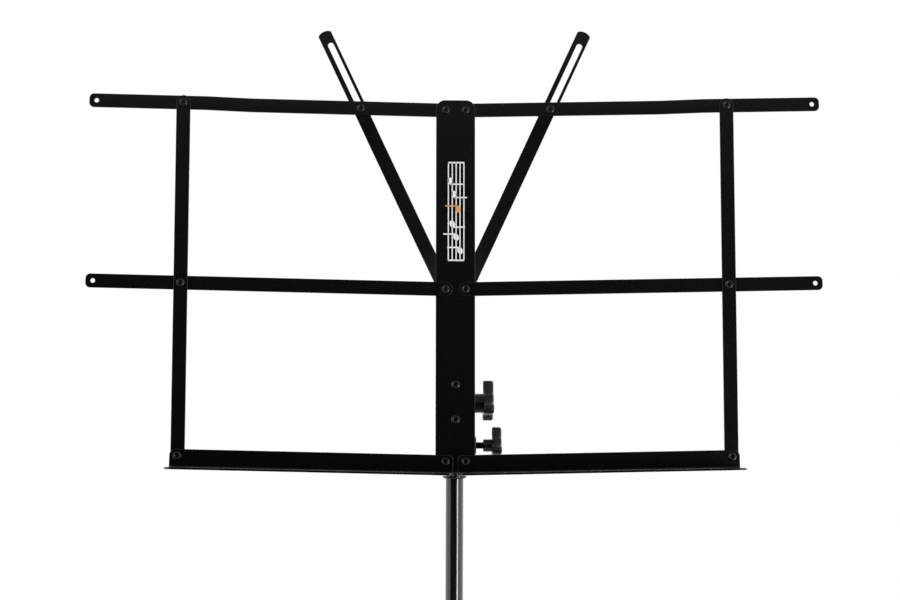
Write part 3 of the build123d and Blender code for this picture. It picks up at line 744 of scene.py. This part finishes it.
# %% Ink
def printed_ink(name, colour_hex, thin_hex):
    """Flat ink whose cover changes a little with the mesh of the screen."""
    material, tree, shader = new_material(name)
    where = add_node(tree, "TexCoord").outputs["Object"]
    mesh_marks = add_node(
        tree, "TexNoise", {"Vector": where, "Scale": per_metre(0.4), "Detail": 2.0}
    )
    cover = add_node(
        tree,
        "Mix",
        {"Factor": mesh_marks.outputs["Fac"], "A": linear(colour_hex), "B": linear(thin_hex)},
        data_type="RGBA",
    )
    bump = add_node(
        tree, "Bump", {"Height": mesh_marks.outputs["Fac"], "Strength": 0.2, "Distance": 0.01 * mm}
    )
    shader.inputs["IOR"].default_value = 1.5
    shader.inputs["Roughness"].default_value = 0.55
    tree.links.new(cover.outputs["Result"], shader.inputs["Base Color"])
    tree.links.new(bump.outputs["Normal"], shader.inputs["Normal"])
    return material


white_ink = printed_ink("screen_printed_white_ink", "#f6f6f4", "#eeeeec")
orange_ink = printed_ink("screen_printed_orange_ink", "#ee9a1c", "#e58f16")
print(white_ink.name, orange_ink.name)

# %% Shapes of the print
print_start = 19.0  # above the middle rivets
print_length = 67.0
print_middle = 0.4  # to the right of the centre line
line_gap = 2.6
line_width = 0.7
head_half = (2.4, 1.75)
head_tilt = radians(20)
stem_length = 8.5
stem_width = 0.9
stem_in = 0.3  # the stem starts this far before the head's edge
ink_height = 0.05
end_bar_width = 1.0
head_points = 24
notes = ((7, -2, 0), (16, 0, 0), (25, 2, 0), (35, -1, 1), (45, 1, 0), (54, 3, 0))  # along, step, ink

spine = frame["nodes"]["spine"]
spine_front = max((spine.matrix_world @ v.co - desk_origin).dot(front) for v in spine.data.vertices)


def print_spot(along, across, raised):
    """A point of the print, which reads up the spine."""
    spot = on_desk(print_middle - across, print_start + along)
    return spot + front * (spine_front + raised * mm)


def add_shape(shape, outline):
    """Raises one closed outline off the spine, with a wall all round."""
    low = [shape.verts.new(print_spot(*point, 0.0)) for point in outline]
    high = [shape.verts.new(print_spot(*point, ink_height)) for point in outline]
    shape.faces.new(high)
    shape.faces.new(low[::-1])
    for i in range(len(outline)):
        shape.faces.new((low[i - 1], low[i], high[i], high[i - 1]))


def bar_outline(along, across, length, width):
    """A bar that starts at along, centred on across."""
    half = width / 2
    end = along + length
    return [(along, across - half), (end, across - half), (end, across + half), (along, across + half)]


def head_outline(along, across):
    """A tilted oval note head."""
    outline = []
    for i in range(head_points):
        turn = 2 * pi * i / head_points
        x, y = head_half[0] * cos(turn), head_half[1] * sin(turn)
        outline.append(
            (
                along + x * cos(head_tilt) - y * sin(head_tilt),
                across + x * sin(head_tilt) + y * cos(head_tilt),
            )
        )
    return outline


print("spine's front", round(spine_front / mm, 2), "mm from the desk's own plane")

# %% Print the stave and the notes
inks = [bmesh.new(), bmesh.new()]
for line in range(-2, 3):
    add_shape(inks[0], bar_outline(0, line * line_gap, print_length, line_width))
for end_along in (0, print_length - end_bar_width):
    add_shape(inks[0], bar_outline(end_along, 0, end_bar_width, 4 * line_gap + line_width))
for along, step, ink in notes:
    across = step * line_gap / 2
    add_shape(inks[ink], head_outline(along, across))
    is_up = step < 1
    stem_along = along + (head_half[0] - 0.4 if is_up else 0.1 - head_half[0])
    stem_middle = across + (stem_length / 2 if is_up else -stem_length / 2)
    add_shape(inks[ink], bar_outline(stem_along - stem_in, stem_middle, stem_width, stem_length))
for name, shape, material in zip(("white", "orange"), inks, (white_ink, orange_ink)):
    print_piece = finish_mesh("spine_print_" + name, shape, material)
    keep_folds_sharp(print_piece)
    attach(print_piece, "desk")
print("print", print_length, "mm long")

# %% [markdown]
# ## Floor and light
#
# The floor is a plain pale disc. It stays close round the stand, so that the level camera doesn't see its
# rim. Black gloss is lit by what it mirrors, so the studio is mostly a wide white surround behind and
# beside the stand, with the side from which it is looked at kept dark: flat faces stay black, and round
# ones get a bright band down each side. One narrow upright lamp low on the right draws the thin line on
# the tube and the spark on each rivet.

# %% Floor
floor_radius = 1.1

floor_paint, floor_tree, floor_shader = new_material("matt_white_floor_paint")
floor_tone = add_node(
    floor_tree,
    "TexNoise",
    {"Vector": add_node(floor_tree, "TexCoord").outputs["Object"], "Scale": per_metre(400)},
)
floor_mix = add_node(
    floor_tree,
    "Mix",
    {"Factor": floor_tone.outputs["Fac"], "A": linear("#e4e4e2"), "B": linear("#ececeb")},
    data_type="RGBA",
)
floor_tree.links.new(floor_mix.outputs["Result"], floor_shader.inputs["Base Color"])
floor_shader.inputs["Roughness"].default_value = 0.7

floor_shape = bmesh.new()
bmesh.ops.create_circle(floor_shape, cap_ends=True, segments=128, radius=floor_radius)
floor = finish_mesh("floor", floor_shape, floor_paint)
print("floor radius", floor_radius, "m")

# %% Which way the surround is turned
surround_light = 2.4
dark_side_light = 0.02
front_high_light = 1.1  # on the dark side, above the upward edges
dark_half_angle = 43.0  # degrees, like all the angles here
dark_middle = -8.0  # degrees to the left of straight ahead
dark_edge_width = 4.0
upward_edges = (17.5, 30.0)
overhead_edges = (30.0, 60.0)
overhead_share = 0.35  # of the surround's light, straight above

world = bpy.data.worlds.new("studio")
bpy.context.scene.world = world
world.use_nodes = True
sky = world.node_tree
sky.nodes.clear()
turned = add_node(
    sky,
    "Mapping",
    {
        "Vector": add_node(sky, "TexCoord").outputs["Generated"],
        "Rotation": (0, 0, radians(-dark_middle)),
    },
)
towards = add_node(sky, "SeparateXYZ", {"Vector": turned.outputs["Vector"]})
print("surround", surround_light, "dark side", dark_side_light)

# %% [markdown]
# A direction's compass bearing doesn't depend on its height, so the part of the direction that is level is
# worked out first. Its share along Y says how far round from straight ahead it is, and its Z how high.

# %% Bearing and height of each direction
level_x = add_node(
    sky, "Math", {0: towards.outputs["X"], 1: towards.outputs["X"]}, operation="MULTIPLY"
)
level_y = add_node(
    sky,
    "Math",
    {0: towards.outputs["Y"], 1: towards.outputs["Y"], 2: level_x.outputs["Value"]},
    operation="MULTIPLY_ADD",
)
level = add_node(sky, "Math", {0: level_y.outputs["Value"]}, operation="SQRT")
facing = add_node(
    sky, "Math", {0: towards.outputs["Y"], 1: level.outputs["Value"]}, operation="DIVIDE"
)
print("dark half angle", dark_half_angle, "degrees")

# %% Brightness of each direction
high = add_node(
    sky,
    "MapRange",
    {
        "Value": towards.outputs["Z"],
        "From Min": sin(radians(upward_edges[0])),
        "From Max": sin(radians(upward_edges[1])),
        "To Min": dark_side_light,
        "To Max": front_high_light,
    },
    interpolation_type="SMOOTHSTEP",
)
surround = add_node(
    sky,
    "MapRange",
    {
        "Value": facing.outputs["Value"],
        "From Min": -cos(radians(dark_half_angle)),
        "From Max": -cos(radians(dark_half_angle + dark_edge_width)),
    },
    interpolation_type="SMOOTHSTEP",
)
brightness = add_node(
    sky,
    "Mix",
    {"Factor": surround.outputs["Result"], "A": high.outputs["Result"], "B": surround_light},
)
overhead = add_node(
    sky,
    "MapRange",
    {
        "Value": towards.outputs["Z"],
        "From Min": sin(radians(overhead_edges[0])),
        "From Max": sin(radians(overhead_edges[1])),
        "To Min": 1.0,
        "To Max": overhead_share,
    },
)
dimmed = add_node(
    sky,
    "Math",
    {0: brightness.outputs["Result"], 1: overhead.outputs["Result"]},
    operation="MULTIPLY",
)
surround_shader = add_node(sky, "Background", {"Strength": dimmed.outputs["Value"]})
backdrop_shader = add_node(sky, "Background", {"Color": (1, 1, 1, 1), "Strength": 1.0})
chosen = add_node(
    sky,
    "MixShader",
    {
        0: add_node(sky, "LightPath").outputs["Is Camera Ray"],
        1: surround_shader.outputs["Background"],
        2: backdrop_shader.outputs["Background"],
    },
)
sky.links.new(chosen.outputs["Shader"], add_node(sky, "OutputWorld").inputs["Surface"])
print("overhead share", overhead_share)

# %% Strip lamp
lamp_angle = radians(38)
lamp_distance = 2.0
lamp_size = (0.4, 0.62)
lamp_height = 0.36
lamp_radiance = 20.0

lamp_data = bpy.data.lights.new("strip_lamp", "AREA")
lamp_data.shape = "RECTANGLE"
lamp_data.size, lamp_data.size_y = lamp_size
lamp_data.energy = lamp_radiance * pi * lamp_size[0] * lamp_size[1]
lamp = bpy.data.objects.new("strip_lamp", lamp_data)
bpy.context.scene.collection.objects.link(lamp)
lamp.visible_camera = False
lamp.location = (
    lamp_distance * sin(lamp_angle),
    desk_origin.y - lamp_distance * cos(lamp_angle),
    lamp_height,
)
lamp.rotation_euler = (radians(90), 0, lamp_angle)
print("strip lamp", round(lamp_data.energy, 2), "W")

# %% [markdown]
# ## Colour as it is
#
# The picture is shown without a film curve, so that white stays white and black stays black.

# %% View
bpy.context.scene.view_settings.view_transform = "Standard"
bpy.context.scene.view_settings.look = "None"
print(bpy.context.scene.view_settings.view_transform)
